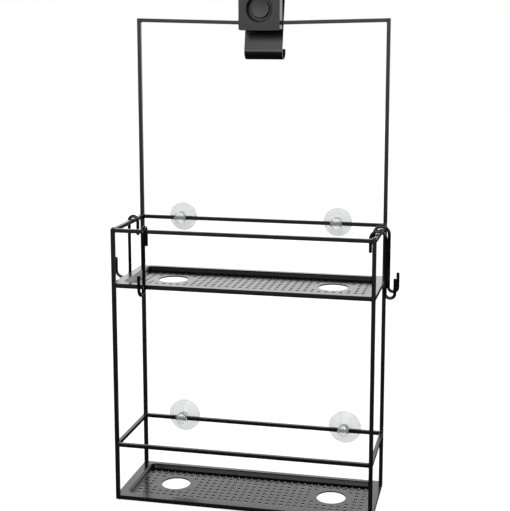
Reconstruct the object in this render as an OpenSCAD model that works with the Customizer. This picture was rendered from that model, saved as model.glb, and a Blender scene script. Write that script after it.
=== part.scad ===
// Hanging shower caddy: a welded square-bar frame with two perforated trays, a sprung hook that
// grips a rail or the top of a screen, four S-hooks on the top rails and four suction cups behind.
// Millimetres, +Z up. The origin is the axis of the rail that the top hook hangs on.

/* [Frame] */
// Width between the centres of the left and right posts
frame_w = 310; // [240:1:380]
// Depth between the centres of the front posts and the uprights
frame_d = 106; // [86:1:140]
// Side of the square bar that the frame is welded from
bar = 4.5; // [3.6:0.1:5.6]
// Height of the top rails' centres above the bottom of the frame
top_rail_z = 334; // [300:1:400]
// Height of the guard rails' centres
guard_rail_z = 69.6; // [45:0.1:110]
// Height of the underside of the upper tray's frame
upper_tray_z = 265; // [200:1:275]
// Height of the crossbar's centre at its ends
crossbar_z = 580; // [500:1:640]
// How far the crossbar dips in the middle, where the hook pulls on it
crossbar_dip = 3.6; // [0:0.1:6]

/* [Trays] */
// Thickness of the pressed sheet
sheet = 0.9; // [0.6:0.1:1.5]
// Width of the trays' flat rim at the front
front_rim = 10.5; // [8:0.1:14]
// Width of the flat rim on the left and on the right
side_rim = 11.3; // [8:0.1:16]
// Width of the flat rim at the back
back_rim = 7.2; // [6.5:0.1:12]
// Depth of the pressed pan below its rim
pan_depth = 6; // [4:0.1:9]
// How far the pan's walls lean in between rim and floor
pan_lean = 2.5; // [1:0.1:3.5]
// Radius of the pan's corners at the rim
pan_corner = 7; // [5:0.1:12]
// Diameter of the small drain holes
drain_d = 4; // [2.5:0.1:5]
// Spacing of the drain holes, the same in both directions
drain_pitch = 8.65; // [8:0.05:14]
// Least distance from the pan's wall to the centre of a drain hole
drain_edge = 4.5; // [3.5:0.1:10]
// Diameter of the two big holes that take upturned bottles
bottle_d = 36; // [26:0.5:44]
// Distance of each big hole from the middle of the tray
bottle_x = 99.5; // [70:0.5:110]
// How far the big holes lie behind the middle of the pan
bottle_back = 4.3; // [0:0.1:8]
// Plain sheet left between a big hole and the centres of the drain holes
bottle_margin = 7; // [5:0.5:12]

/* [S-hooks] */
// Diameter of the hooks' wire
wire_d = 3.8; // [2.4:0.1:4]
// Radius of the wire's centre line in the big loop
big_loop_r = 9; // [8:0.1:12]
// Radius of the wire's centre line in the small loop
small_loop_r = 5.6; // [5.5:0.1:7.5]
// Overall length of a hook
hook_l = 82; // [70:1:100]
// Length of the straight end beyond the big loop
big_end = 16.5; // [6:0.5:20]
// Length of the straight end beyond the small loop
small_end = 18; // [6:0.5:20]
// Clearance between a hook and the corners of the bar it hangs on
hang_gap = 0.3; // [0.3:0.05:0.8]
// Distance of the right rail's first hook behind the front posts
right_hook_y = 36; // [14:1:38]
// Distance of the right rail's second hook behind the front posts
right_back_hook_y = 70; // [44:1:76]
// Distance of the left rail's hook behind the front posts
left_hook_y = 72; // [30:1:76]
// Place of the front rail's hook, from the middle of the frame
front_hook_x = -115.5; // [-118:0.5:118]

/* [Suction cups] */
// Diameter of the two upper cups
upper_cup_d = 36; // [30:0.5:44]
// Diameter of the two lower cups
lower_cup_d = 42; // [34:0.5:50]
// Distance of the upper left cup from the middle of the frame
upper_left_cup_x = 104; // [60:1:116]
// Distance of the upper right cup from the middle of the frame
upper_right_cup_x = 95; // [60:1:116]
// Distance of the lower left cup from the middle of the frame
lower_left_cup_x = 105; // [60:1:116]
// Distance of the lower right cup from the middle of the frame
lower_right_cup_x = 107; // [60:1:116]
// Diameter of the knob that the rail passes through
knob_d = 14.5; // [12:0.1:18]
// How far the knob reaches in front of the rail's centre
knob_front = 6.5; // [5:0.1:9]
// Distance from the rail's centre back to the rim of a cup
cup_reach = 12; // [10:0.5:16]
// Thickness of a cup's lip
cup_lip = 1; // [0.8:0.1:1.6]
// Running clearance between a cup's cross hole and the corners of the bar
cup_gap = 0.08; // [0.05:0.01:0.1]

/* [Clip] */
// Width of the clip's housing
clip_w = 51; // [50:1:64]
// Height of the clip's housing
clip_h = 51.5; // [48:0.5:64]
// How far the housing hangs below the crossbar's centre
clip_drop = 8.7; // [8:0.1:12]
// How far the housing stands in front of the crossbar's centre
clip_front = 11.4; // [10:0.1:16]
// How far the housing reaches behind the crossbar's centre
clip_back = 3.4; // [3:0.1:6]
// Radius of the housing's corners
clip_corner = 2.5; // [1:0.1:5]
// Diameter of the round well in front of the button
well_d = 30; // [26:0.5:32]
// Depth of the round well
well_depth = 8; // [5:0.1:8.2]
// Diameter of the button
button_d = 22.5; // [16:0.1:24]
// How far the button stands out of the well's floor
button_proud = 3; // [1:0.1:4]
// Travel of the button
button_travel = 3.2; // [1.5:0.1:3.2]
// Clearance around the button and between the clip's pieces
clip_gap = 0.3; // [0.2:0.05:0.5]

/* [Hook strap] */
// Width of the spring strap
strap_w = 48; // [36:1:48]
// Thickness of the spring strap
strap_t = 1.5; // [1:0.1:2]
// Thickness of the soft liner under the strap
liner_t = 1.2; // [0.8:0.1:2]
// Radius of the rail that the liner closes on
rail_r = 10.65; // [8:0.05:14]
// Height of that rail's centre above the crossbar
rail_rise = 47.5; // [44:0.5:70]
// Distance from the liner to the crest of the rear leg, where a screen is gripped
grip_gap = 5.4; // [4:0.1:10]
// Depth of the crest below the crossbar
crest_drop = 34; // [20:1:50]
// Radius of the curl at the end of the rear leg
curl_r = 9.2; // [6:0.1:12]
// How far the curl turns, in degrees
curl_turn = 210; // [120:5:240]

/* [Screws] */
// Diameter of the screws' shanks
screw_d = 3; // [2:0.1:3]
// Diameter of the screws' heads
screw_head_d = 5.6; // [5:0.1:6]
// Depth of the screws in the housing
screw_grip = 8; // [5:0.5:9]
// Distance of the screws from the sides of the housing
screw_side = 6.5; // [6:0.1:9]
// Distance of the lower screws from the bottom of the housing
screw_low = 3.4; // [3.2:0.1:3.8]
// Distance of the upper screws from the top of the housing
screw_high = 5.5; // [4:0.1:7]

/* [Hidden] */
$fn = 64;
top_z = crossbar_z + bar / 2;            // top of the uprights
outer_w = frame_w + bar;
outer_d = frame_d + bar;
mid_y = frame_d / 2;
clip_z = crossbar_z - crossbar_dip;      // crossbar's centre under the clip
bar_slope = atan(crossbar_dip / (frame_w / 2));

// Pan of a tray
pan_w = outer_w - 2 * side_rim;
pan_d = outer_d - front_rim - back_rim;
pan_y = -bar / 2 + front_rim + pan_d / 2;
drain_space_w = pan_w - 2 * pan_lean - 2 * drain_edge;
drain_space_d = pan_d - 2 * pan_lean - 2 * drain_edge;
drain_cols = floor(drain_space_w / drain_pitch) + 1;
drain_rows = floor(drain_space_d / drain_pitch) + 1;
bottle_y = pan_y + bottle_back;
corner_gap = 0.1;                        // round each post, between it and the trays

// S-hooks
wire_r = wire_d / 2;
hook_leg = hook_l - big_loop_r - small_loop_r - wire_d;
rail_top = top_rail_z + bar / 2;

// Suction cups
knob_bore_r = bar / sqrt(2) + cup_gap;
cup_neck = knob_bore_r + 1.6;            // where the knob ends and the cup starts, behind the rail
cup_hollow = 2.6;                        // depth of the hollow under a cup
cup_flare = 0.35;                        // share of the depth at which the cup is half spread
soft_edge = 1;                           // bevel round the knob and inside the lip

// Clip, with depths measured from the crossbar's centre
well_floor = -clip_front + well_depth;
button_z = clip_z - clip_drop + clip_h / 2;
button_flange = 1.2;
button_flange_d = button_d + 3.4;
button_wall = 1.6;                       // wall of the housing that the button slides in
flange_y = well_floor + button_wall + clip_gap;
pocket_d = button_flange_d + 2 * clip_gap;
bar_notch = bar + 2 * clip_gap;

// Hook strap: the arch's axis, the curl's axis and the straight leg between them
liner_y = clip_back + strap_t;
arch_y = liner_y + liner_t + rail_r;
arch_z = clip_z + rail_rise;
arch_r = rail_r + liner_t + strap_t / 2;
curl_y = liner_y + liner_t + grip_gap + curl_r + strap_t / 2;
curl_z = clip_z - crest_drop;
rise = arch_z - curl_z;
lean_l = sqrt(pow(curl_y - arch_y, 2) + pow(rise, 2) - pow(arch_r + curl_r, 2));
lean = atan2(rise, curl_y - arch_y) - atan2(lean_l, arch_r + curl_r);
clip_foot = clip_z - clip_drop;          // lower edge of the housing and of the strap
screw_head_t = 1;
screw_x = clip_w / 2 - screw_side;
screw_z = [clip_foot + screw_low, clip_foot + clip_h - screw_high];
screw_fit = 0.05;                        // clearance round a screw's shank
head_gap = 0.4;                          // clearance round a screw's head
liner_foot = screw_z[0] + screw_head_d / 2 + head_gap;
liner_inset = 1;                         // how far the liner stays inside the strap's edges
cut = 1;                                 // how far a cutter runs past the faces that it opens

// Moves the frame's own coordinates, which start at the bottom between the front posts, to the origin
module placed() translate([0, -frame_d - arch_y, -arch_z]) children();

// Draws in the plane across the caddy: local X is depth, local Y is height and local Z runs along X
module across(w) rotate([90, 0, 90]) translate([0, 0, -w / 2]) children();

module black_bar(size, centre) color("#1b1b1d") placed() translate(centre) cube(size, center = true);

module post(side, y, height) black_bar([bar, bar, height], [side * frame_w / 2, y, height / 2]);

// A rail between two posts; place is "front", "back", "left" or "right"
module rail(place, z) {
    if (place == "front" || place == "back")
        black_bar([frame_w - bar, bar, bar], [0, place == "front" ? 0 : frame_d, z]);
    else
        black_bar([bar, frame_d - bar, bar], [(place == "left" ? -1 : 1) * frame_w / 2, mid_y, z]);
}

// The crossbar's own outline, made thicker by the given clearance
module dipped_bar(reach, grow) {
    half = bar / 2 + grow;
    drop = crossbar_dip - reach * tan(bar_slope);
    translate([0, half, 0]) rotate([90, 0, 0]) linear_extrude(2 * half)
        polygon([
            [-reach, crossbar_z - drop + half], [0, clip_z + half], [reach, crossbar_z - drop + half],
            [reach, crossbar_z - drop - half], [0, clip_z - half], [-reach, crossbar_z - drop - half]
        ]);
}

module top_crossbar() color("#1b1b1d") placed() translate([0, frame_d, 0])
    dipped_bar(frame_w / 2 - bar / 2, 0);

// A block with rounded corners whose walls lean out from bottom to top; w, d and r are at the top
module leaning_block(w, d, h, r, lean_in) {
    for (x = [-1, 1], y = [-1, 1])
        translate([x * (w / 2 - r), y * (d / 2 - r), 0]) cylinder(h = h, r1 = r - lean_in, r2 = r);
    for (turn = [0, 90]) {
        across_w = turn == 0 ? d : w;
        along_w = turn == 0 ? w : d;
        rotate([0, 0, turn]) across(along_w - 2 * r) linear_extrude(along_w - 2 * r)
            polygon([
                [-across_w / 2 + lean_in, 0], [across_w / 2 - lean_in, 0],
                [across_w / 2, h], [-across_w / 2, h]
            ]);
    }
}

// Drain holes in rows and columns about the pan's middle, except near the two bottle holes
module drain_holes() {
    for (col = [0:drain_cols - 1], row = [0:drain_rows - 1]) {
        x = (col - (drain_cols - 1) / 2) * drain_pitch;
        y = pan_y + (row - (drain_rows - 1) / 2) * drain_pitch;
        if (norm([abs(x) - bottle_x, y - bottle_y]) > bottle_d / 2 + bottle_margin)
            translate([x, y, 0]) circle(d = drain_d);
    }
}

// A pressed tray; z is the underside of the frame that carries it
module tray(z) color("#2a2a2c") placed() translate([0, 0, z + bar]) {
    floor_z = sheet - pan_depth;
    wall = sheet / cos(atan(pan_lean / pan_depth));
    difference() {
        union() {
            linear_extrude(sheet) difference() {
                translate([-outer_w / 2, -bar / 2]) square([outer_w, outer_d]);
                for (x = [-1, 1], y = [0, frame_d])
                    translate([x * frame_w / 2, y]) square(bar + 2 * corner_gap, center = true);
            }
            translate([0, pan_y, floor_z - sheet])
                leaning_block(pan_w + 2 * wall, pan_d + 2 * wall, pan_depth + sheet,
                    pan_corner + wall, pan_lean * (pan_depth + sheet) / pan_depth);
        }
        translate([0, pan_y, floor_z]) leaning_block(pan_w, pan_d, pan_depth, pan_corner, pan_lean);
        translate([0, 0, floor_z - 2 * sheet]) linear_extrude(3 * sheet) {
            drain_holes();
            for (x = [-1, 1]) translate([x * bottle_x, bottle_y]) circle(d = bottle_d);
        }
    }
}

// A wire S-hook about the centre of its upper loop, with its long leg on +X.
// The lower loop opens away from the rail.
module s_hook(upper_r, lower_r, upper_end, lower_end) color("#161617") {
    rotate([90, 0, 0]) rotate_extrude(angle = 180) translate([upper_r, 0]) circle(wire_r);
    translate([-upper_r, 0, -upper_end]) cylinder(h = upper_end, r = wire_r);
    translate([upper_r, 0, -hook_leg]) cylinder(h = hook_leg, r = wire_r);
    translate([upper_r + lower_r, 0, -hook_leg]) {
        rotate([-90, 0, 0]) rotate_extrude(angle = 180) translate([lower_r, 0]) circle(wire_r);
        translate([lower_r, 0, 0]) cylinder(h = lower_end, r = wire_r);
    }
}

// How far a loop's centre lies below the top of the bar that it hangs on
function hang_drop(r) = sqrt(pow(r - wire_r - hang_gap, 2) - pow(bar / 2, 2));

// An S-hook with its big loop over the rail, or with its small loop over the rail
module big_up(x, y, turn) placed() translate([x, y, rail_top - hang_drop(big_loop_r)])
    rotate([0, 0, turn]) s_hook(big_loop_r, small_loop_r, big_end, small_end);
module small_up(x, y, turn) placed() translate([x, y, rail_top - hang_drop(small_loop_r)])
    rotate([0, 0, turn]) s_hook(small_loop_r, big_loop_r, small_end, big_end);

module right_front_hook() big_up(frame_w / 2, right_hook_y, 0);
module right_back_hook() big_up(frame_w / 2, right_back_hook_y, 0);
module left_hook() small_up(-frame_w / 2, left_hook_y, 180);
module front_hook() small_up(front_hook_x, 0, -90);

// A suction cup of one piece of soft plastic, with a cross hole for the rail
module suction_cup(x, z, d) color("#dfe1e2", 0.6) placed() translate([x, frame_d, z])
    rotate([-90, 0, 0]) difference() {
        rotate_extrude() polygon([
            [0, -knob_front], [knob_d / 2 - soft_edge, -knob_front],
            [knob_d / 2, soft_edge - knob_front], [knob_d / 2, cup_neck],
            [d / 4 + knob_d / 8, cup_neck + (cup_reach - cup_neck) * cup_flare],
            [d / 2, cup_reach - cup_lip], [d / 2, cup_reach], [d / 2 - soft_edge, cup_reach],
            [knob_d / 2, cup_reach - cup_hollow], [0, cup_reach - cup_hollow]
        ]);
        rotate([0, 90, 0]) cylinder(h = knob_d + d, r = knob_bore_r, center = true);
    }

// A plate with rounded corners that stands across the depth, from y0 to y1 behind the crossbar
module rounded_plate(w, z0, z1, r, y0, y1) translate([0, y1, 0]) rotate([90, 0, 0])
    linear_extrude(y1 - y0) {
        translate([-w / 2 + r, z0]) square([w - 2 * r, z1 - z0]);
        translate([-w / 2, z0 + r]) square([w, z1 - z0 - 2 * r]);
        for (x = [-1, 1], z = [z0 + r, z1 - r]) translate([x * (w / 2 - r), z]) circle(r);
    }

// A cylinder or cone about the button's axis that runs back from y0 to y1
module depth_rod(r1, r2, y0, y1)
    translate([0, y0, button_z]) rotate([-90, 0, 0]) cylinder(h = y1 - y0, r1 = r1, r2 = r2);

module screw_rod(r, y0, y1) translate([0, y0, 0]) rotate([-90, 0, 0]) cylinder(h = y1 - y0, r = r);

module at_screws() for (x = [-screw_x, screw_x], z = screw_z) translate([x, 0, z]) children();

module clip_housing() color("#18181a") placed() translate([0, frame_d, 0]) difference() {
    chamfer = 1.2;
    rounded_plate(clip_w, clip_foot, clip_foot + clip_h, clip_corner, -clip_front, clip_back);
    depth_rod(well_d / 2, well_d / 2, -clip_front - cut, well_floor);
    depth_rod(well_d / 2 + chamfer, well_d / 2, -clip_front, -clip_front + chamfer);
    depth_rod(button_d / 2 + clip_gap, button_d / 2 + clip_gap, well_floor - cut, clip_back);
    depth_rod(pocket_d / 2, pocket_d / 2, well_floor + button_wall, clip_back + cut);
    dipped_bar(clip_w, clip_gap);
    translate([-clip_w, 0, clip_z - bar_notch / 2]) cube([2 * clip_w, clip_back + cut, bar_notch]);
    at_screws() screw_rod(screw_d / 2 + screw_fit, clip_back - screw_grip, clip_back + cut);
}

module clip_button() color("#202022") placed() translate([0, frame_d, 0]) {
    face = well_floor - button_proud;
    edge = 0.6;
    depth_rod(button_d / 2 - edge, button_d / 2, face, face + edge);
    depth_rod(button_d / 2, button_d / 2, face + edge, flange_y);
    depth_rod(button_flange_d / 2, button_flange_d / 2, flange_y, flange_y + button_flange);
}

// The spring strap: up behind the housing, over the rail, down the leaning leg and round the curl
module hook_strap() color("#121213") placed() translate([0, frame_d, 0]) difference() {
    union() {
        translate([-strap_w / 2, clip_back, clip_foot]) cube([strap_w, strap_t, arch_z - clip_foot]);
        translate([0, arch_y, arch_z]) {
            strap_bend(arch_r, -lean, 180 + lean);
            rotate([-lean, 0, 0]) {
                translate([-strap_w / 2, arch_r - strap_t / 2, -lean_l])
                    cube([strap_w, strap_t, lean_l]);
                translate([0, arch_r + curl_r, -lean_l]) strap_bend(curl_r, 180, curl_turn);
            }
        }
    }
    at_screws() screw_rod(screw_d / 2 + screw_fit, clip_back - cut, liner_y + cut);
}

// A bend of the strap about its own axis, from the start angle through the turn
module strap_bend(r, start, turn) rotate([90, 0, 90]) rotate([0, 0, start])
    rotate_extrude(angle = turn) translate([r - strap_t / 2, -strap_w / 2]) square([strap_t, strap_w]);

// The soft liner: on the back of the strap's front leg and under the arch
module strap_liner() color("#2c2c2e") placed() translate([0, frame_d, 0]) difference() {
    liner_w = strap_w - 2 * liner_inset;
    union() {
        translate([-liner_w / 2, liner_y, liner_foot]) cube([liner_w, liner_t, arch_z - liner_foot]);
        translate([0, arch_y, arch_z]) rotate([90, 0, 90]) rotate_extrude(angle = 180)
            translate([rail_r, -liner_w / 2]) square([liner_t, liner_w]);
    }
    at_screws() screw_rod(screw_head_d / 2 + head_gap, liner_y - cut, liner_y + liner_t + cut);
}

module clip_screws() color("#8d8f92") placed() translate([0, frame_d, 0]) at_screws() {
    tip_gap = 0.5;
    slot = [screw_head_d * 0.6, screw_head_t, 0.8];
    screw_rod(screw_d / 2, clip_back - screw_grip + tip_gap, liner_y);
    difference() {
        screw_rod(screw_head_d / 2, liner_y, liner_y + screw_head_t);
        for (turn = [0, 90]) rotate([0, turn, 0])
            translate([0, liner_y + screw_head_t, 0]) cube(slot, center = true);
    }
}

post(-1, frame_d, top_z);  // left_upright
post(1, frame_d, top_z);  // right_upright
post(-1, 0, rail_top);  // front_left_post
post(1, 0, rail_top);  // front_right_post
top_crossbar();
for (place = ["front", "back", "left", "right"]) {
    rail(place, top_rail_z);
    rail(place, guard_rail_z);
    rail(place, upper_tray_z + bar / 2);
    rail(place, bar / 2);
}
tray(upper_tray_z);  // upper_tray
tray(0);  // lower_tray
right_front_hook();
right_back_hook();
left_hook();
front_hook();
suction_cup(-upper_left_cup_x, top_rail_z, upper_cup_d);  // upper_left_cup
suction_cup(upper_right_cup_x, top_rail_z, upper_cup_d);  // upper_right_cup
suction_cup(-lower_left_cup_x, guard_rail_z, lower_cup_d);  // lower_left_cup
suction_cup(lower_right_cup_x, guard_rail_z, lower_cup_d);  // lower_right_cup
clip_housing();
clip_button();
hook_strap();
strap_liner();
clip_screws();
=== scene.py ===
"""Finishes, welds, pressed trays, bent hooks and studio for the hanging shower caddy.

Metres throughout, +Z up, with the origin on the axis of the rail that the caddy hangs on.
"""

import math

import bmesh
import bpy
from mathutils import Matrix, Vector


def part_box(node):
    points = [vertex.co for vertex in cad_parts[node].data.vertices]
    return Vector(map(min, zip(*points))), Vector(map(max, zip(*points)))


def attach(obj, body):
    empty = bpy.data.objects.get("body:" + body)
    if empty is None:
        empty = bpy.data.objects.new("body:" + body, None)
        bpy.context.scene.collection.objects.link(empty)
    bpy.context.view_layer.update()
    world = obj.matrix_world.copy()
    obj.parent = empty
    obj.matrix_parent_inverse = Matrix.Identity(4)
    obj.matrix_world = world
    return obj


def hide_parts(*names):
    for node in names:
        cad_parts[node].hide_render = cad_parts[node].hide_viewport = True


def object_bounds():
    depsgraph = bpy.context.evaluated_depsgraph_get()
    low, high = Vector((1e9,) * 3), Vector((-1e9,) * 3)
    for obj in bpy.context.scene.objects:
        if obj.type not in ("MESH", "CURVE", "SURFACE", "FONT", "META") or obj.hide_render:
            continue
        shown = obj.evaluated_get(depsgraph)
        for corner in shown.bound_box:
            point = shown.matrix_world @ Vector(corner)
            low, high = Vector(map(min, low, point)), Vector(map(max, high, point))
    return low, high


bl_info = {
    "name": "Shower Caddy",
    "version": (1, 0, 0),
    "blender": (4, 5, 0),
    "location": "View3D > Sidebar > Caddy",
    "description": "Builds the finishes and fine pieces of a hanging shower caddy",
    "category": "Object",
}

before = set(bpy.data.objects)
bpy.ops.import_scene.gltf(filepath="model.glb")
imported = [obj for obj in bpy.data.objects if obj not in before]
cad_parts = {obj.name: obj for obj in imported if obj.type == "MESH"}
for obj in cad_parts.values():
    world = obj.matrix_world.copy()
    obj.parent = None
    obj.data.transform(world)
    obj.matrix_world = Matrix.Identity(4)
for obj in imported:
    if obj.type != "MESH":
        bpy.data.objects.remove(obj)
CAD_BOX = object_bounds()

POSTS = ("left_upright", "right_upright", "front_left_post", "front_right_post")
LEVELS = ("top", "guard", "upper_tray", "lower_tray")
SIDES = ("front", "back", "left", "right")
RAILS = tuple(f"{level}_{side}_rail" for level in LEVELS for side in SIDES)
BARS = POSTS + ("top_crossbar",) + RAILS
TRAYS = ("upper_tray", "lower_tray")
CUPS = ("upper_left_cup", "upper_right_cup", "lower_left_cup", "lower_right_cup")
# Each hook's node, the way that it faces, and whether its big loop is the upper one
HOOKS = (
    ("right_front_hook", Vector((1, 0, 0)), True),
    ("right_back_hook", Vector((1, 0, 0)), True),
    ("left_hook", Vector((-1, 0, 0)), False),
    ("front_hook", Vector((0, -1, 0)), False),
)
UP = Vector((0, 0, 1))
MM = 0.001

# The lit wall and the panel in front: where each soft edge starts and where it is full,
# on the scale of a unit direction
WALL_SIDES, WALL_FOOT, WALL_HEAD = (0.4, 0.72), (-0.16, -0.04), (0.56, 0.4)
PANEL_DEPTH, PANEL_FOOT, PANEL_HEAD = (-0.5, -0.85), (-0.13, 0.09), (0.36, 0.18)
PANEL_RIGHT, PANEL_LEFT = (0.55, 0.05), (-0.85, -0.5)
DIM_STUDIO = 0.02

# The softbox's width and height, where it hangs and the point that it faces
SOFTBOX_SIZE, SOFTBOX_PLACE = (1.5, 0.8), Vector((0.1, -1.75, 0.62))
SOFTBOX_AIM = Vector((0, 0, -0.1))

# The floor's edges, its own glow, and the camera's sensor and clipping distances
FLOOR_X, FLOOR_Y = (-5, 5), (-0.55, 7)
FLOOR_GLOW = 0.9
SENSOR_MM = 36
CLIP_NEAR, CLIP_FAR = 0.02, 50

# How coarse each finish's noise is, in features per metre
COAT_CLOUD, COAT_PEEL, COAT_SPECK = 38, 620, 2600
WIRE_CLOUD, WIRE_FLOW = 60, 260
STRAP_CLOUD, STRAP_LINES = 45, 95
PLASTIC_CLOUD, PLASTIC_GRAIN = 55, 1900
RUBBER_CLOUD, RUBBER_PORE = 70, 1700
CUP_FLOW, STEEL_CLOUD, FLOOR_CLOUD = 120, 900, 3

# How deep each finish's relief is
COAT_RELIEF, WIRE_RELIEF, STRAP_RELIEF = 0.03 * MM, 0.03 * MM, 0.012 * MM
PLASTIC_RELIEF, RUBBER_RELIEF = 0.03 * MM, 0.05 * MM
CUP_RELIEF, STEEL_RELIEF = 0.1 * MM, 0.02 * MM

# Colours, gloss and edge radii of the clip's pieces
HOUSING_BLACK, HOUSING_ROUGHNESS = (0.021, 0.021, 0.022), 0.42
BUTTON_BLACK, BUTTON_ROUGHNESS = (0.03, 0.03, 0.031), 0.38
STRAP_BLACK, LINER_BLACK = (0.01, 0.01, 0.0105), (0.03, 0.03, 0.031)
STRAP_EDGE, LINER_EDGE, SCREW_EDGE = 0.35 * MM, 0.3 * MM, 0.12 * MM

# Vertices closer than this are one; edges sharper than these angles are rounded or kept sharp
SAME_POINT = 0.002 * MM
ROUNDED_FROM, SHARP_FROM = math.radians(28), math.radians(40)


# ---------------------------------------------------------------- settings


class CaddyCoatSettings(bpy.types.PropertyGroup):
    """Colours and gloss of the caddy's finishes."""

    frame_black: bpy.props.FloatVectorProperty(
        name="Frame coat", description="Colour of the powder coat on the bars",
        default=(0.006, 0.006, 0.0063), subtype="COLOR", size=3, min=0, max=1)
    frame_roughness: bpy.props.FloatProperty(
        name="Frame roughness", description="How satin the coat on the bars is",
        default=0.3, min=0.05, max=1, subtype="FACTOR")
    tray_black: bpy.props.FloatVectorProperty(
        name="Tray coat", description="Colour of the powder coat on the pressed trays",
        default=(0.01, 0.01, 0.0103), subtype="COLOR", size=3, min=0, max=1)
    tray_roughness: bpy.props.FloatProperty(
        name="Tray roughness", description="How satin the coat on the trays is",
        default=0.2, min=0.05, max=1, subtype="FACTOR")
    wire_black: bpy.props.FloatVectorProperty(
        name="Hook coat", description="Colour of the coat on the S-hooks",
        default=(0.005, 0.005, 0.0053), subtype="COLOR", size=3, min=0, max=1)
    wire_roughness: bpy.props.FloatProperty(
        name="Hook roughness", description="How glossy the coat on the S-hooks is",
        default=0.13, min=0.05, max=1, subtype="FACTOR")
    strap_roughness: bpy.props.FloatProperty(
        name="Strap roughness", description="How glossy the spring strap is",
        default=0.24, min=0.05, max=1, subtype="FACTOR")
    cup_tint: bpy.props.FloatVectorProperty(
        name="Cup tint", description="Tint of the clear suction cups",
        default=(0.93, 0.935, 0.94), subtype="COLOR", size=3, min=0, max=1)
    cup_clearness: bpy.props.FloatProperty(
        name="Cup clearness", description="Share of light that goes through the cups",
        default=0.76, min=0, max=1, subtype="FACTOR")


class CaddyShapeSettings(bpy.types.PropertyGroup):
    """Fine sizes that the pieces are made to."""

    bar_edge: bpy.props.FloatProperty(
        name="Bar edge", description="Radius along the edges of the square bars",
        default=0.3 * MM, min=0.05 * MM, max=1.2 * MM, unit="LENGTH", precision=5)
    weld_leg: bpy.props.FloatProperty(
        name="Weld leg", description="Size of the fillet where a rail meets a post",
        default=1.1 * MM, min=0.3 * MM, max=2.5 * MM, unit="LENGTH", precision=5)
    clip_edge: bpy.props.FloatProperty(
        name="Clip edge", description="Radius along the edges of the moulded housing",
        default=0.7 * MM, min=0.1 * MM, max=1.5 * MM, unit="LENGTH", precision=5)
    front_rim: bpy.props.FloatProperty(
        name="Front rim", description="Width of the trays' flat rim at the front",
        default=10.5 * MM, min=8 * MM, max=14 * MM, unit="LENGTH", precision=5)
    side_rim: bpy.props.FloatProperty(
        name="Side rim", description="Width of the trays' flat rim on the left and right",
        default=11.3 * MM, min=8 * MM, max=16 * MM, unit="LENGTH", precision=5)
    back_rim: bpy.props.FloatProperty(
        name="Back rim", description="Width of the trays' flat rim at the back",
        default=7.2 * MM, min=6.5 * MM, max=12 * MM, unit="LENGTH", precision=5)
    sheet: bpy.props.FloatProperty(
        name="Sheet", description="Thickness of the pressed sheet",
        default=0.9 * MM, min=0.6 * MM, max=1.5 * MM, unit="LENGTH", precision=5)
    floor_sheet: bpy.props.FloatProperty(
        name="Floor sheet", description="Thickness of the pan's floor",
        default=1.5 * MM, min=0.9 * MM, max=2 * MM, unit="LENGTH", precision=5)
    pan_lean: bpy.props.FloatProperty(
        name="Pan lean", description="How far the pan's walls lean in",
        default=2.5 * MM, min=1 * MM, max=3.5 * MM, unit="LENGTH", precision=5)
    pan_corner: bpy.props.FloatProperty(
        name="Pan corner", description="Corner radius of the pan at its rim",
        default=7 * MM, min=5 * MM, max=12 * MM, unit="LENGTH", precision=5)
    pan_bend: bpy.props.FloatProperty(
        name="Pan bend", description="Radius of the pan's bends at the rim and at the floor",
        default=1.3 * MM, min=0.6 * MM, max=2 * MM, unit="LENGTH", precision=5)
    drain_d: bpy.props.FloatProperty(
        name="Drain hole", description="Diameter of the small drain holes",
        default=3.8 * MM, min=2.5 * MM, max=5 * MM, unit="LENGTH", precision=5)
    drain_pitch: bpy.props.FloatProperty(
        name="Drain pitch", description="Spacing of the drain holes",
        default=8.65 * MM, min=8 * MM, max=14 * MM, unit="LENGTH", precision=5)
    drain_edge: bpy.props.FloatProperty(
        name="Drain edge", description="Least distance from the pan's wall to a hole's centre",
        default=4.5 * MM, min=3.5 * MM, max=10 * MM, unit="LENGTH", precision=5)
    bottle_d: bpy.props.FloatProperty(
        name="Bottle hole", description="Diameter of the two big holes",
        default=36 * MM, min=26 * MM, max=44 * MM, unit="LENGTH", precision=5)
    bottle_x: bpy.props.FloatProperty(
        name="Bottle hole place", description="Distance of each big hole from the middle",
        default=99.5 * MM, min=70 * MM, max=110 * MM, unit="LENGTH", precision=5)
    bottle_back: bpy.props.FloatProperty(
        name="Bottle hole depth", description="How far the big holes lie behind the pan's middle",
        default=4.3 * MM, min=0, max=8 * MM, unit="LENGTH", precision=5)
    bottle_margin: bpy.props.FloatProperty(
        name="Bottle hole margin", description="Plain sheet left round each big hole",
        default=7 * MM, min=5 * MM, max=12 * MM, unit="LENGTH", precision=5)
    hole_edge: bpy.props.FloatProperty(
        name="Hole edge", description="Rounding of the punched edges under the coat",
        default=0.16 * MM, min=0.02 * MM, max=0.4 * MM, unit="LENGTH", precision=6)
    wire_d: bpy.props.FloatProperty(
        name="Hook wire", description="Diameter of the S-hooks' wire",
        default=3.8 * MM, min=2.4 * MM, max=4 * MM, unit="LENGTH", precision=5)
    big_loop_r: bpy.props.FloatProperty(
        name="Big loop", description="Radius of the big loop, to the wire's centre",
        default=9 * MM, min=8 * MM, max=12 * MM, unit="LENGTH", precision=5)
    small_loop_r: bpy.props.FloatProperty(
        name="Small loop", description="Radius of the small loop, to the wire's centre",
        default=5.6 * MM, min=5.5 * MM, max=7.5 * MM, unit="LENGTH", precision=5)
    big_end: bpy.props.FloatProperty(
        name="Big end", description="Straight end beyond the big loop",
        default=16.5 * MM, min=6 * MM, max=20 * MM, unit="LENGTH", precision=5)
    small_end: bpy.props.FloatProperty(
        name="Small end", description="Straight end beyond the small loop",
        default=18 * MM, min=6 * MM, max=20 * MM, unit="LENGTH", precision=5)


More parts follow.
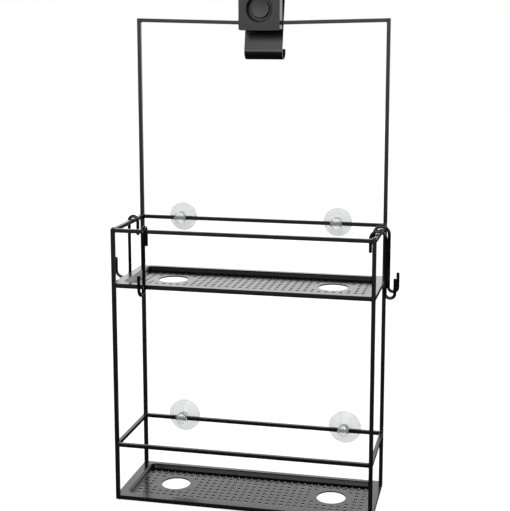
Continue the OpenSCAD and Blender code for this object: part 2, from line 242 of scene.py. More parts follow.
class CaddyStageSettings(bpy.types.PropertyGroup):
    """Camera and light."""

    camera_place: bpy.props.FloatVectorProperty(
        name="Camera", description="Place of the camera",
        default=(0.2963, -1.3032, -0.0656), subtype="TRANSLATION", size=3)
    camera_turn: bpy.props.FloatProperty(
        name="Camera turn", description="How far the camera looks to the left of straight ahead",
        default=math.radians(11.873), subtype="ANGLE")
    camera_tilt: bpy.props.FloatProperty(
        name="Camera tilt", description="How far the camera looks down",
        default=math.radians(8.807), subtype="ANGLE")
    camera_roll: bpy.props.FloatProperty(
        name="Camera roll", description="How far the camera leans about its own axis",
        default=math.radians(0.188), subtype="ANGLE")
    lens: bpy.props.FloatProperty(
        name="Lens", description="Focal length on a 36 mm sensor, in millimetres",
        default=75.735, min=20, max=300)
    shift: bpy.props.FloatVectorProperty(
        name="Lens shift", description="Sideways and upward shift of the lens",
        default=(-0.0516, -0.0990), size=2)
    backdrop: bpy.props.FloatProperty(
        name="Backdrop", description="Brightness of the white behind the caddy",
        default=1.9, min=0, max=5)
    front_panel: bpy.props.FloatProperty(
        name="Front panel", description="Brightness of the soft panel in front of the caddy",
        default=3.0, min=0, max=20)
    softbox: bpy.props.FloatProperty(
        name="Softbox", description="Power of the big soft light above the camera, in watts",
        default=8, min=0, max=400)
    floor_white: bpy.props.FloatVectorProperty(
        name="Floor", description="Colour of the floor",
        default=(0.86, 0.86, 0.86), subtype="COLOR", size=3, min=0, max=1)


# ---------------------------------------------------------------- shader sums


class Wire:
    """A node's output that takes part in Python sums; each sum adds a Math node."""

    def __init__(self, plan, socket):
        self.plan, self.socket = plan, socket

    def _sum(self, operation, first, second):
        return self.plan.node(
            "ShaderNodeMath", {"operation": operation}, {0: first, 1: second})["Value"]

    def __add__(self, other):
        return self._sum("ADD", self, other)

    def __sub__(self, other):
        return self._sum("SUBTRACT", self, other)

    def __rsub__(self, other):
        return self._sum("SUBTRACT", other, self)

    def __mul__(self, other):
        return self._sum("MULTIPLY", self, other)

    def clipped(self):
        return self.plan.node("ShaderNodeClamp", {}, {"Value": self})["Result"]


class Made:
    """A node that has been added, whose outputs are read by name or number."""

    def __init__(self, plan, node):
        self.plan, self.made = plan, node

    def __getitem__(self, key):
        return Wire(self.plan, self.made.outputs[key])


class Plan:
    """The node tree of one material or world."""

    def __init__(self, owner):
        owner.use_nodes = True
        self.tree = owner.node_tree
        self.tree.nodes.clear()

    def node(self, kind, settings, inputs):
        made = self.tree.nodes.new(kind)
        for name, value in settings.items():
            setattr(made, name, value)
        for key, value in inputs.items():
            socket = made.inputs[key]
            if isinstance(value, Wire):
                self.tree.links.new(value.socket, socket)
            elif socket.type == "RGBA" and len(value) == 3:
                socket.default_value = (*value, 1)
            else:
                socket.default_value = value
        return Made(self, made)

    def place(self):
        return self.node("ShaderNodeTexCoord", {}, {})["Object"]

    def noise(self, scale, detail, vector=None):
        inputs = {"Scale": scale, "Detail": detail, "Vector": vector or self.place()}
        return self.node("ShaderNodeTexNoise", {}, inputs)["Fac"]

    def blend(self, mask, first, second):
        """Colour that goes from first to second as the mask goes from 0 to 1."""
        inputs = {"Factor": mask, "A": first, "B": second}
        made = self.node("ShaderNodeMix", {"data_type": "RGBA"}, {})
        for key, value in inputs.items():
            sockets = [s for s in made.made.inputs if s.name == key and s.enabled]
            if isinstance(value, Wire):
                self.tree.links.new(value.socket, sockets[0])
            else:
                sockets[0].default_value = (*value, 1)
        return Wire(self, next(s for s in made.made.outputs if s.enabled))

    def bump(self, height, distance, strength):
        return self.node("ShaderNodeBump", {}, {
            "Strength": strength, "Distance": distance, "Height": height})["Normal"]

    def surface(self, inputs):
        shader = self.node("ShaderNodeBsdfPrincipled", {}, inputs)["BSDF"]
        self.node("ShaderNodeOutputMaterial", {}, {"Surface": shader})


def shade(colour, factor):
    """The colour made darker or lighter, with no channel above 1."""
    return tuple(min(1.0, channel * factor) for channel in colour)


# ---------------------------------------------------------------- finishes


def powder_coat(name, colour, roughness, peel=1.0):
    """Baked powder coat: fine orange peel, and gloss and tone that vary a little."""
    material = bpy.data.materials.new(name)
    plan = Plan(material)
    cloud = plan.noise(COAT_CLOUD, 3)
    speck = plan.noise(COAT_SPECK, 1)
    skin = plan.noise(COAT_PEEL, 2)
    tone = (cloud * 0.7 + speck * 0.3).clipped()
    plan.surface({
        "Base Color": plan.blend(tone, shade(colour, 0.72), shade(colour, 1.35)),
        "Roughness": (cloud * 0.08 + skin * 0.06 + (roughness - 0.07)).clipped(),
        "Normal": plan.bump(skin * 0.75 + speck * 0.25, COAT_RELIEF * peel, 0.5),
        "Specular IOR Level": 0.42,
    })
    return material


def gloss_wire(name, colour, roughness):
    """Glossy dipped coat that has flowed smooth along the wire."""
    material = bpy.data.materials.new(name)
    plan = Plan(material)
    cloud = plan.noise(WIRE_CLOUD, 2)
    flow = plan.noise(WIRE_FLOW, 1)
    plan.surface({
        "Base Color": plan.blend(cloud, shade(colour, 0.8), shade(colour, 1.3)),
        "Roughness": (cloud * 0.07 + (roughness - 0.035)).clipped(),
        "Normal": plan.bump(flow, WIRE_RELIEF, 0.35),
        "Coat Weight": 0.35,
        "Coat Roughness": 0.08,
    })
    return material


def strap_coat(name, colour, roughness):
    """Coated spring steel whose rolling lines just show across its width."""
    material = bpy.data.materials.new(name)
    plan = Plan(material)
    stretched = plan.node("ShaderNodeMapping", {}, {
        "Vector": plan.place(), "Scale": (1.0, 26.0, 26.0)})["Vector"]
    lines = plan.noise(STRAP_LINES, 3, stretched)
    cloud = plan.noise(STRAP_CLOUD, 2)
    plan.surface({
        "Base Color": plan.blend(cloud, shade(colour, 0.8), shade(colour, 1.25)),
        "Roughness": (lines * 0.08 + cloud * 0.04 + (roughness - 0.06)).clipped(),
        "Normal": plan.bump(lines, STRAP_RELIEF, 0.35),
    })
    return material


def moulded_plastic(name, colour, roughness, spark):
    """Spark-textured moulding: a fine even grain over a soft sheen."""
    material = bpy.data.materials.new(name)
    plan = Plan(material)
    grain = plan.node("ShaderNodeTexVoronoi", {"feature": "SMOOTH_F1"}, {
        "Vector": plan.place(), "Scale": PLASTIC_GRAIN, "Smoothness": 0.6})["Distance"]
    cloud = plan.noise(PLASTIC_CLOUD, 3)
    plan.surface({
        "Base Color": plan.blend(cloud, shade(colour, 0.85), shade(colour, 1.18)),
        "Roughness": (cloud * 0.08 + grain * 0.08 + (roughness - 0.08)).clipped(),
        "Normal": plan.bump(grain, PLASTIC_RELIEF * spark, 0.5),
    })
    return material


def soft_rubber(name, colour):
    """Matt moulded rubber with a dry, dusty skin."""
    material = bpy.data.materials.new(name)
    plan = Plan(material)
    cloud = plan.noise(RUBBER_CLOUD, 4)
    pore = plan.noise(RUBBER_PORE, 2)
    plan.surface({
        "Base Color": plan.blend(cloud, shade(colour, 0.75), shade(colour, 1.4)),
        "Roughness": (pore * 0.14 + 0.62).clipped(),
        "Normal": plan.bump(pore, RUBBER_RELIEF, 0.6),
    })
    return material


def clear_plastic(name, tint, clearness):
    """Clear soft plastic, a little milky, with the flow marks of its moulding."""
    material = bpy.data.materials.new(name)
    plan = Plan(material)
    flow = plan.noise(CUP_FLOW, 2)
    plan.surface({
        "Base Color": plan.blend(flow, shade(tint, 0.97), tint),
        "Roughness": (flow * 0.08 + 0.08).clipped(),
        "Normal": plan.bump(flow, CUP_RELIEF, 0.25),
        "IOR": 1.45,
        "Transmission Weight": clearness,
    })
    return material


def turned_steel(name):
    """Plain steel whose tone, gloss and skin vary a little."""
    material = bpy.data.materials.new(name)
    plan = Plan(material)
    cloud = plan.noise(STEEL_CLOUD, 3)
    plan.surface({
        "Base Color": plan.blend(cloud, (0.42, 0.42, 0.43), (0.6, 0.6, 0.61)),
        "Metallic": 1.0,
        "Roughness": (cloud * 0.16 + 0.22).clipped(),
        "Normal": plan.bump(cloud, STEEL_RELIEF, 0.4),
    })
    return material


def wear(obj, material):
    """Gives an object one material all over."""
    obj.data.materials.clear()
    obj.data.materials.append(material)


def soften(obj, width, segments):
    """Rounds a solid's edges without touching its own mesh."""
    weld = obj.modifiers.new("joined_skin", "WELD")
    weld.merge_threshold = SAME_POINT
    bevel = obj.modifiers.new("rounded_edges", "BEVEL")
    bevel.width, bevel.segments = width, segments
    bevel.limit_method, bevel.angle_limit = "ANGLE", ROUNDED_FROM
    bevel.use_clamp_overlap = True
    bevel.harden_normals = False
    smooth = obj.modifiers.new("even_shading", "WEIGHTED_NORMAL")
    smooth.keep_sharp = False


# ---------------------------------------------------------------- mesh making


def new_piece(name, bm, material, body, slot, *replaced):
    """Turns a bmesh into a piece that rides on a body and stands for some nodes."""
    bmesh.ops.recalc_face_normals(bm, faces=bm.faces)
    mesh = bpy.data.meshes.new(name)
    bm.to_mesh(mesh)
    bm.free()
    mesh.shade_smooth()
    mesh.set_sharp_from_angle(angle=SHARP_FROM)
    piece = bpy.data.objects.new(name, mesh)
    bpy.context.scene.collection.objects.link(piece)
    wear(piece, material)
    if replaced:
        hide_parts(*replaced)
    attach(piece, body)
    return piece


def stitch(bm, rings, closed=False):
    """Fills the strips between rings of vertices; closed also joins the last to the first."""
    pairs = list(zip(rings, rings[1:])) + ([(rings[-1], rings[0])] if closed else [])
    for first, second in pairs:
        for i in range(len(first)):
            j = (i + 1) % len(first)
            bm.faces.new((first[i], first[j], second[j], second[i]))


def lathe(bm, profile, centre, axis_out, steps):
    """Turns (radius, distance along axis_out) points round an axis; radius 0 ends close it."""
    side = axis_out.orthogonal().normalized()
    other = axis_out.cross(side)
    rings = []
    for radius, along in profile:
        middle = centre + axis_out * along
        if radius < 1e-7:
            rings.append([bm.verts.new(middle)])
            continue
        rings.append([
            bm.verts.new(middle + (side * math.cos(a) + other * math.sin(a)) * radius)
            for a in (2 * math.pi * k / steps for k in range(steps))])
    for first, second in zip(rings, rings[1:]):
        for k in range(steps):
            j = (k + 1) % steps
            if len(first) == 1:
                bm.faces.new((first[0], second[j], second[k]))
            elif len(second) == 1:
                bm.faces.new((first[k], first[j], second[0]))
            else:
                bm.faces.new((first[k], first[j], second[j], second[k]))


def bend_wire(bm, path, across, radius, sides=20):
    """Sweeps a round wire along a flat path, with a small round on each cut end."""
    edge = radius * 0.38
    rings, count = [], len(path)

    def ring(middle, tangent, r):
        normal = across.cross(tangent).normalized()
        return [bm.verts.new(middle + (normal * math.cos(a) + across * math.sin(a)) * r)
                for a in (2 * math.pi * k / sides for k in range(sides))]

    for i, point in enumerate(path):
        tangent = (path[min(i + 1, count - 1)] - path[max(i - 1, 0)]).normalized()
        if i in (0, count - 1):
            outward = -tangent if i == 0 else tangent
            steps = [(math.cos(a), math.sin(a)) for a in (math.pi / 2 * k / 4 for k in range(5))]
            ends = [ring(point + outward * edge * (s - 1), tangent, radius - edge * (1 - c))
                    for c, s in steps]
            rings += ends[::-1] if i == 0 else ends
        else:
            rings.append(ring(point, tangent, radius))
    stitch(bm, rings)
    bm.faces.new(rings[0][::-1])
    bm.faces.new(rings[-1])


def arc(centre, first, second, radius, start, end, steps):
    """Points on an arc in the plane of two directions, from the start to the end angle."""
    return [centre + (first * math.cos(a) + second * math.sin(a)) * radius
            for a in (start + (end - start) * k / steps for k in range(steps + 1))]


def rounded_rectangle(half_w, half_d, r, corner_steps=10):
    """Points round a rectangle with rounded corners, about (0, 0)."""
    points = []
    for quarter, (sx, sy) in enumerate(((1, 1), (-1, 1), (-1, -1), (1, -1))):
        for k in range(corner_steps + 1):
            a = math.pi / 2 * (quarter + k / corner_steps)
            points.append((sx * (half_w - r) + r * math.cos(a),
                           sy * (half_d - r) + r * math.sin(a)))
    return points


def punched_plate(outlines, z, thickness, edge):
    """Mesh of a flat plate cut from outlines, the first outside and the rest holes."""
    curve = bpy.data.curves.new("punching", "CURVE")
    curve.dimensions, curve.fill_mode = "2D", "BOTH"
    curve.extrude, curve.bevel_depth = thickness / 2 - edge, edge
    curve.bevel_resolution, curve.offset = 1, -edge
    for points in outlines:
        spline = curve.splines.new("POLY")
        spline.points.add(len(points) - 1)
        for vertex, (x, y) in zip(spline.points, points):
            vertex.co = (x, y, 0, 1)
        spline.use_cyclic_u = True
    holder = bpy.data.objects.new("punching", curve)
    holder.location = (0, 0, z - thickness / 2)
    bpy.context.scene.collection.objects.link(holder)
    bpy.context.view_layer.update()
    graph = bpy.context.evaluated_depsgraph_get()
    mesh = bpy.data.meshes.new_from_object(holder.evaluated_get(graph))
    mesh.transform(holder.matrix_world)
    bpy.data.objects.remove(holder)
    bpy.data.curves.remove(curve)
    return mesh


# ---------------------------------------------------------------- operators


class CaddyCoatFrame(bpy.types.Operator):
    """Coats the welded bars and rounds their edges"""

    bl_idname = "caddy.coat_frame"
    bl_label = "Coat frame"

    def execute(self, context):
        coat, shape = context.scene.caddy_coat, context.scene.caddy_shape
        material = powder_coat("frame_powder_coat", coat.frame_black, coat.frame_roughness)
        for name in BARS:
            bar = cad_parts[name]
            wear(bar, material)
            soften(bar, shape.bar_edge, 3)
        return {"FINISHED"}


class CaddyWeldFrame(bpy.types.Operator):
    """Lays the small fillet welds where the rails meet the posts"""

    bl_idname = "caddy.weld_frame"
    bl_label = "Weld frame"

    def execute(self, context):
        leg = context.scene.caddy_shape.weld_leg
        material = bpy.data.materials["frame_powder_coat"]
        bm = bmesh.new()
        for name in RAILS + ("top_crossbar",):
            low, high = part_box(name)
            axis = 0 if high.x - low.x > high.y - low.y else 1
            for end in (0, 1):
                out = Vector((0, 0, 0))
                out[axis] = 1 if end == 0 else -1
                root = Vector((low + high) / 2)
                root[axis] = (low, high)[end][axis]
                for up in (-1, 1):
                    if name == "top_crossbar" and up == 1:
                        continue
                    seat = root.copy()
                    seat.z = high.z if up == 1 else low.z
                    if name == "top_crossbar":
                        seat.z = root_of_crossbar(low, high)
                    self.fillet(bm, seat, out, up, axis, leg, high, low)
        new_piece("frame_welds", bm, material, "frame", "black_frame")
        return {"FINISHED"}

    def fillet(self, bm, seat, out, up, axis, leg, high, low):
        """A concave bead in the corner between a rail's face and a post's side."""
        along = Vector((0, 1, 0)) if axis == 0 else Vector((1, 0, 0))
        half = ((high - low)[1 - axis]) / 2
        steps, stations = 6, 7
        uneven, sunk, reach, hollow = 0.18, leg * 0.3, half * 0.96, 0.98
        wave, drift_x, drift_z = 3.1, 900, 700
        rings = []
        for s in range(stations):
            share = s / (stations - 1) * 2 - 1
            swell = leg * (1 - uneven * abs(math.sin(
                wave * share + seat.x * drift_x + seat.z * drift_z)))
            place = seat + along * (reach * share)
            ring = [bm.verts.new(place - out * sunk - UP * up * sunk)]
            ring.append(bm.verts.new(place - out * sunk + UP * up * swell))
            for k in range(steps + 1):
                a = math.pi / 2 * k / steps
                ring.append(bm.verts.new(
                    place + out * swell * (1 - math.cos(a)) * hollow
                    + UP * up * swell * (1 - math.sin(a)) * hollow))
            ring.append(bm.verts.new(place + out * swell - UP * up * sunk))
            rings.append(ring)
        stitch(bm, rings)
        bm.faces.new(rings[0][::-1])
        bm.faces.new(rings[-1])


def root_of_crossbar(low, high):
    """Underside of the crossbar at its ends, above the dip in its middle."""
    bar = high.y - low.y
    return high.z - bar


class CaddyPressTrays(bpy.types.Operator):
    """Presses the two perforated trays: rim, bends, walls, floor and punched holes"""

    bl_idname = "caddy.press_trays"
    bl_label = "Press trays"

    def execute(self, context):
        coat = context.scene.caddy_coat
        material = powder_coat("tray_powder_coat", coat.tray_black, coat.tray_roughness, 0.8)
        for name in TRAYS:
            self.press(context.scene.caddy_shape, name, material)
        return {"FINISHED"}

    def press(self, shape, name, material):
        low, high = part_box(name)
        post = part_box("front_left_post")
        bar = post[1].x - post[0].x
        pan_w = high.x - low.x - 2 * shape.side_rim
        pan_d = high.y - low.y - shape.front_rim - shape.back_rim
        pan_y = low.y + shape.front_rim + pan_d / 2
        rim_top, floor_top = high.z, low.z + shape.floor_sheet
        profile = self.wall_profile(shape, rim_top - floor_top)
        half_w, half_d = pan_w / 2 - shape.pan_lean, pan_d / 2 - shape.pan_lean
        corner = shape.pan_corner - shape.pan_lean

        def ring(u):
            return [(x, y + pan_y) for x, y in
                    rounded_rectangle(half_w + u, half_d + u, corner + u)]

        bm = bmesh.new()
        rings = [[bm.verts.new((x, y, floor_top + z)) for x, y in ring(u)] for u, z in profile]
        stitch(bm, rings, closed=True)
        inner, outer = profile[0][0], max(u for u, z in profile)
        overlap, post_gap = 0.02 * MM, 0.1 * MM
        floor = [ring(inner + overlap)] + self.holes(shape, pan_w, pan_d, pan_y)
        rim = [self.notched(low, high, bar + post_gap), ring(outer - overlap)[::-1]]
        for outlines, top, sheet in ((floor, floor_top, shape.floor_sheet),
                                     (rim, rim_top, shape.sheet)):
            plate = punched_plate(outlines, top, sheet, shape.hole_edge)
            bm.from_mesh(plate)
            bpy.data.meshes.remove(plate)
        new_piece("pressed_" + name, bm, material, "frame", "black_tray", name)

    def wall_profile(self, shape, depth):
        """Closed outline of the pan's wall: (outward, up) from the floor's edge."""
        lean = math.atan2(shape.pan_lean, depth)
        turn = math.pi / 2 - lean
        thick, bend = shape.sheet, shape.pan_bend
        tangent = math.tan(turn / 2)
        # The outer bend is wider, so that the sheet's inside there keeps a radius
        inner_r, outer_r = bend, bend + 0.4 * thick
        upper, lower = [], []
        steps = 6
        a0 = -inner_r * tangent
        for k in range(steps + 1):
            a = turn * k / steps
            upper.append((a0 + inner_r * math.sin(a), inner_r * (1 - math.cos(a))))
            lower.append((a0 + (inner_r + thick) * math.sin(a),
                          inner_r - (inner_r + thick) * math.cos(a)))
        a1 = shape.pan_lean + outer_r * tangent
        for k in range(steps + 1):
            a = turn * (1 - k / steps)
            upper.append((a1 - outer_r * math.sin(a), depth - outer_r * (1 - math.cos(a))))
            lower.append((a1 - (outer_r - thick) * math.sin(a),
                          depth - outer_r + (outer_r - thick) * math.cos(a)))
        return upper + lower[::-1]

    def holes(self, shape, pan_w, pan_d, pan_y):
        """Outlines of the drain holes and of the two bottle holes."""
        def circle(x, y, r, steps):
            return [(x + r * math.cos(-2 * math.pi * k / steps),
                     y + r * math.sin(-2 * math.pi * k / steps)) for k in range(steps)]

        slack = 2 * (shape.pan_lean + shape.drain_edge)
        columns = int((pan_w - slack) / shape.drain_pitch) + 1
        rows = int((pan_d - slack) / shape.drain_pitch) + 1
        bottle_y = pan_y + shape.bottle_back
        found = [circle(side * shape.bottle_x, bottle_y, shape.bottle_d / 2, 72)
                 for side in (-1, 1)]
        for column in range(columns):
            for row in range(rows):
                x = (column - (columns - 1) / 2) * shape.drain_pitch
                y = pan_y + (row - (rows - 1) / 2) * shape.drain_pitch
                reach = math.hypot(abs(x) - shape.bottle_x, y - bottle_y)
                if reach > shape.bottle_d / 2 + shape.bottle_margin:
                    found.append(circle(x, y, shape.drain_d / 2, 20))
        return found

    def notched(self, low, high, bar):
        """The rim's outer edge, cut round the four posts."""
        x0, y0, x1, y1, c = low.x, low.y, high.x, high.y, bar
        return [(x0 + c, y0), (x1 - c, y0), (x1 - c, y0 + c), (x1, y0 + c),
                (x1, y1 - c), (x1 - c, y1 - c), (x1 - c, y1), (x0 + c, y1),
                (x0 + c, y1 - c), (x0, y1 - c), (x0, y0 + c), (x0 + c, y0 + c)]


class CaddyBendHooks(bpy.types.Operator):
    """Bends the four S-hooks from round wire"""

    bl_idname = "caddy.bend_hooks"
    bl_label = "Bend S-hooks"

    def execute(self, context):
        coat, shape = context.scene.caddy_coat, context.scene.caddy_shape
        material = gloss_wire("hook_gloss_coat", coat.wire_black, coat.wire_roughness)
        r = shape.wire_d / 2
        end_steps, leg_steps, loop_steps = 6, 14, 28
        for name, out, big_up in HOOKS:
            low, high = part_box(name)
            loops = [(shape.big_loop_r, shape.big_end), (shape.small_loop_r, shape.small_end)]
            (top_r, top_end), (low_r, low_end) = loops if big_up else loops[::-1]
            inner = Vector(tuple(
                low[i] if out[i] > 0 else high[i] if out[i] < 0 else (low[i] + high[i]) / 2
                for i in range(3)))
            centre = inner + out * (r + top_r)
            centre.z = high.z - r - top_r
            foot = centre + out * (top_r + low_r)
            foot.z = low.z + r + low_r
            path = [centre - out * top_r - UP * top_end * (1 - k / end_steps)
                    for k in range(end_steps)]
            path += arc(centre, out, UP, top_r, math.pi, 0, loop_steps)
            leg = centre.z - foot.z
            path += [centre + out * top_r - UP * leg * k / leg_steps
                     for k in range(1, leg_steps)]
            path += arc(foot, out, UP, low_r, math.pi, 2 * math.pi, loop_steps)
            path += [foot + out * low_r + UP * low_end * k / end_steps
                     for k in range(1, end_steps + 1)]
            bm = bmesh.new()
            bend_wire(bm, path, out.cross(UP), r)
            new_piece("wire_" + name, bm, material, name, "black_wire", name)
        return {"FINISHED"}


class CaddyMouldCups(bpy.types.Operator):
    """Moulds the four clear suction cups, each with a cross hole for its rail"""

    bl_idname = "caddy.mould_cups"
    bl_label = "Mould suction cups"

    def execute(self, context):
        coat = context.scene.caddy_coat
        material = clear_plastic("cup_clear_plastic", coat.cup_tint, coat.cup_clearness)
        for name in CUPS:
            low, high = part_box(name)
            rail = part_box("top_back_rail" if name.startswith("upper") else "guard_back_rail")
            rail_y = (rail[0].y + rail[1].y) / 2
            centre = Vector(((low.x + high.x) / 2, rail_y, (low.z + high.z) / 2))
            self.mould(name, centre, low, high, rail[1].z - rail[0].z, material)
        return {"FINISHED"}

    def mould(self, name, centre, low, high, bar, material):
        rim = (high.x - low.x) / 2
        front, back = centre.y - low.y, high.y - centre.y
        knob, round_edge, flat = 7.25 * MM, 1.3 * MM, 0.4 * MM
        dish = [(0, 0.35), (0.45, 0.2)]
        profile = [(knob * u, -front + v * MM) for u, v in dish]
        profile.append((knob - round_edge - flat, -front))
        for k in range(1, 6):
            a = math.pi / 2 * k / 5
            profile.append((knob - round_edge + round_edge * math.sin(a),
                            -front + round_edge * (1 - math.cos(a))))
        neck, collar, step = bar / math.sqrt(2) + 1.4 * MM, 0.8 * MM, 0.25 * MM
        profile += [(knob, 0), (knob, neck - collar), (knob - step, neck)]
        bell = [(0.04, 0.05), (0.14, 0.16), (0.3, 0.3), (0.5, 0.46), (0.7, 0.62), (0.86, 0.76),
                (0.95, 0.85)]
        deep = back - neck
        profile += [(knob + (rim - knob) * u, neck + deep * v) for u, v in bell]
        lip = [(0.1, 0.85), (0, 0.45), (0.15, 0.08), (0.6, 0)]
        profile += [(rim - u * MM, back - v * MM) for u, v in lip]
        under = [(0.93, 0.2), (0.8, 0.8), (0.62, 1.35), (0.4, 1.95), (0.2, 2.4), (0, 2.6)]
        profile += [(rim * u, back - v * MM) for u, v in under]
        bm = bmesh.new()
        lathe(bm, profile, centre, Vector((0, 1, 0)), 72)
        bmesh.ops.recalc_face_normals(bm, faces=bm.faces)
        blank, cutter = bpy.data.meshes.new("blank"), bpy.data.meshes.new("cutter")
        bm.to_mesh(blank)
        bm.free()
        bore = bmesh.new()
        bore_r = bar / math.sqrt(2) + 0.08 * MM
        lathe(bore, [(0, -knob * 2), (bore_r, -knob * 2), (bore_r, knob * 2), (0, knob * 2)],
              centre, Vector((1, 0, 0)), 48)
        bmesh.ops.recalc_face_normals(bore, faces=bore.faces)
        bore.to_mesh(cutter)
        bore.free()
        solid, tool = (bpy.data.objects.new(m.name, m) for m in (blank, cutter))
        for each in (solid, tool):
            bpy.context.scene.collection.objects.link(each)
        cut = solid.modifiers.new("cross_hole", "BOOLEAN")
        cut.operation, cut.object, cut.solver = "DIFFERENCE", tool, "EXACT"
        bpy.context.view_layer.update()
        graph = bpy.context.evaluated_depsgraph_get()
        bored = bpy.data.meshes.new_from_object(solid.evaluated_get(graph))
        made = bmesh.new()
        made.from_mesh(bored)
        for each in (solid, tool):
            bpy.data.objects.remove(each)
        for mesh in (blank, cutter, bored):
            bpy.data.meshes.remove(mesh)
        new_piece("moulded_" + name, made, material, name, "clear_plastic", name)


class CaddyFinishClip(bpy.types.Operator):
    """Finishes the hook at the top: housing, button, spring strap, liner and screws"""

    bl_idname = "caddy.finish_clip"
    bl_label = "Finish clip"

    def execute(self, context):
        coat, shape = context.scene.caddy_coat, context.scene.caddy_shape
        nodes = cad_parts
        wear(nodes["clip_housing"],
             moulded_plastic("housing_plastic", HOUSING_BLACK, HOUSING_ROUGHNESS, 1.0))
        soften(nodes["clip_housing"], shape.clip_edge, 4)
        wear(nodes["hook_strap"], strap_coat("strap_coat", STRAP_BLACK, coat.strap_roughness))
        soften(nodes["hook_strap"], STRAP_EDGE, 3)
        wear(nodes["strap_liner"], soft_rubber("liner_rubber", LINER_BLACK))
        soften(nodes["strap_liner"], LINER_EDGE, 2)
        wear(nodes["clip_screws"], turned_steel("screw_steel"))
        soften(nodes["clip_screws"], SCREW_EDGE, 2)
        self.button()
        return {"FINISHED"}

    def button(self):
        low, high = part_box("clip_button")
        material = moulded_plastic("button_plastic", BUTTON_BLACK, BUTTON_ROUGHNESS, 0.7)
        centre = Vector(((low.x + high.x) / 2, low.y, (low.z + high.z) / 2))
        flange_r, depth = (high.x - low.x) / 2, high.y - low.y
        flange_step, flange_t, chamfer = 1.7 * MM, 1.2 * MM, 0.1 * MM
        face_r, edge, flat = flange_r - flange_step, 0.8 * MM, 0.5 * MM
        dish = [(0, 0.42), (0.35, 0.38), (0.62, 0.25), (0.8, 0.08)]
        profile = [(face_r * u, v * MM) for u, v in dish]
        profile.append((face_r - edge - flat, 0))
        for k in range(7):
            a = math.pi / 2 * k / 6
            profile.append((face_r - edge + edge * math.sin(a), edge * (1 - math.cos(a))))
        profile += [(face_r, depth - flange_t), (flange_r - chamfer, depth - flange_t),
                    (flange_r, depth - flange_t + chamfer), (flange_r, depth - chamfer),
                    (flange_r - chamfer, depth), (0, depth)]
        bm = bmesh.new()
        lathe(bm, profile, centre, Vector((0, 1, 0)), 96)
        new_piece("dished_button", bm, material, "button", "black_button", "clip_button")


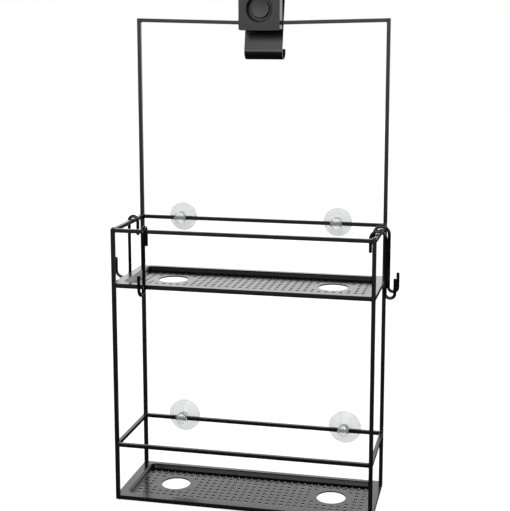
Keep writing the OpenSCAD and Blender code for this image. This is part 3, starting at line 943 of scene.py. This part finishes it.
class CaddySetStage(bpy.types.Operator):
    """Sets the pale floor, the soft studio light and the camera"""

    bl_idname = "caddy.set_stage"
    bl_label = "Set stage"

    def execute(self, context):
        stage, scene = context.scene.caddy_stage, context.scene
        scene.view_settings.view_transform = "Standard"
        self.floor(stage, CAD_BOX[0].z)
        self.surroundings(stage, scene)
        self.softbox(stage)
        self.camera(stage, scene)
        return {"FINISHED"}

    def floor(self, stage, z):
        bm = bmesh.new()
        (left, right), (front, back) = FLOOR_X, FLOOR_Y
        corners = [(left, front, z), (right, front, z), (right, back, z), (left, back, z)]
        bm.faces.new([bm.verts.new(c) for c in corners])
        mesh = bpy.data.meshes.new("floor")
        bm.to_mesh(mesh)
        bm.free()
        floor = bpy.data.objects.new("floor", mesh)
        bpy.context.scene.collection.objects.link(floor)
        material = bpy.data.materials.new("pale_floor")
        plan = Plan(material)
        cloud = plan.noise(FLOOR_CLOUD, 2)
        plan.surface({
            "Base Color": plan.blend(cloud, shade(stage.floor_white, 0.985), stage.floor_white),
            "Roughness": 0.7,
            "Emission Color": (1, 1, 1),
            "Emission Strength": FLOOR_GLOW,
        })
        wear(floor, material)
        floor.visible_glossy = floor.visible_diffuse = False

    def surroundings(self, stage, scene):
        """A lit wall behind, a broad soft panel in front, and a dark studio round them."""
        world = bpy.data.worlds.new("studio")
        scene.world = world
        plan = Plan(world)
        way = plan.node("ShaderNodeTexCoord", {}, {})["Generated"]
        parts = plan.node("ShaderNodeSeparateXYZ", {}, {"Vector": way})
        across, deep, high = parts["X"], parts["Y"], parts["Z"]

        def rise(value, start, end):
            return ((value - start) * (1 / (end - start))).clipped()

        wall = rise(deep, *WALL_SIDES) * rise(high, *WALL_FOOT) * rise(high, *WALL_HEAD)
        panel = (rise(deep, *PANEL_DEPTH) * rise(high, *PANEL_FOOT) * rise(high, *PANEL_HEAD)
                 * rise(across, *PANEL_RIGHT) * rise(across, *PANEL_LEFT))
        glow = wall * stage.backdrop + panel * stage.front_panel + DIM_STUDIO
        rays = plan.node("ShaderNodeLightPath", {}, {})
        seen = (rays["Is Camera Ray"] + rays["Is Transmission Ray"]).clipped()
        light = plan.node("ShaderNodeBackground", {}, {
            "Color": (1, 1, 1), "Strength": glow * (1 - seen) + seen})["Background"]
        plan.node("ShaderNodeOutputWorld", {}, {"Surface": light})

    def softbox(self, stage):
        light = bpy.data.lights.new("softbox", "AREA")
        light.shape = "RECTANGLE"
        light.size, light.size_y = SOFTBOX_SIZE
        light.energy = stage.softbox
        lamp = bpy.data.objects.new("softbox", light)
        lamp.location = SOFTBOX_PLACE
        lamp.rotation_mode = "QUATERNION"
        lamp.rotation_quaternion = (SOFTBOX_AIM - SOFTBOX_PLACE).to_track_quat("-Z", "Y")
        bpy.context.scene.collection.objects.link(lamp)

    def camera(self, stage, scene):
        data = bpy.data.cameras.new("camera")
        data.lens, data.sensor_width = stage.lens, SENSOR_MM
        data.shift_x, data.shift_y = stage.shift
        data.clip_start, data.clip_end = CLIP_NEAR, CLIP_FAR
        camera = bpy.data.objects.new("camera", data)
        turn, tilt = stage.camera_turn, stage.camera_tilt
        camera.matrix_world = (
            Matrix.Translation(stage.camera_place)
            @ Matrix.Rotation(turn, 4, "Z")
            @ Matrix.Rotation(math.pi / 2 - tilt, 4, "X")
            @ Matrix.Rotation(stage.camera_roll, 4, "Z"))
        scene.collection.objects.link(camera)
        scene.camera = camera


OPERATORS = (CaddyCoatFrame, CaddyWeldFrame, CaddyPressTrays, CaddyBendHooks, CaddyMouldCups,
             CaddyFinishClip, CaddySetStage)


class CADDY_PT_panel(bpy.types.Panel):
    """Lists the caddy's pieces and settings"""

    bl_label = "Shower Caddy"
    bl_idname = "CADDY_PT_panel"
    bl_space_type = "VIEW_3D"
    bl_region_type = "UI"
    bl_category = "Caddy"

    def draw(self, context):
        scene = context.scene
        for operator in OPERATORS:
            self.layout.operator(operator.bl_idname)
        for settings in (scene.caddy_coat, scene.caddy_shape, scene.caddy_stage):
            box = self.layout.box()
            for name in settings.__annotations__:
                box.prop(settings, name)


SETTINGS = {"caddy_coat": CaddyCoatSettings, "caddy_shape": CaddyShapeSettings,
            "caddy_stage": CaddyStageSettings}


def register():
    for cls in (*SETTINGS.values(), *OPERATORS, CADDY_PT_panel):
        bpy.utils.register_class(cls)
    for name, cls in SETTINGS.items():
        setattr(bpy.types.Scene, name, bpy.props.PointerProperty(type=cls))


def unregister():
    for name in SETTINGS:
        delattr(bpy.types.Scene, name)
    for cls in reversed((*SETTINGS.values(), *OPERATORS, CADDY_PT_panel)):
        bpy.utils.unregister_class(cls)


def main():
    register()
    bpy.ops.caddy.coat_frame()
    bpy.ops.caddy.weld_frame()
    bpy.ops.caddy.press_trays()
    bpy.ops.caddy.bend_hooks()
    bpy.ops.caddy.mould_cups()
    bpy.ops.caddy.finish_clip()
    bpy.ops.caddy.set_stage()


if __name__ == "__main__":
    main()
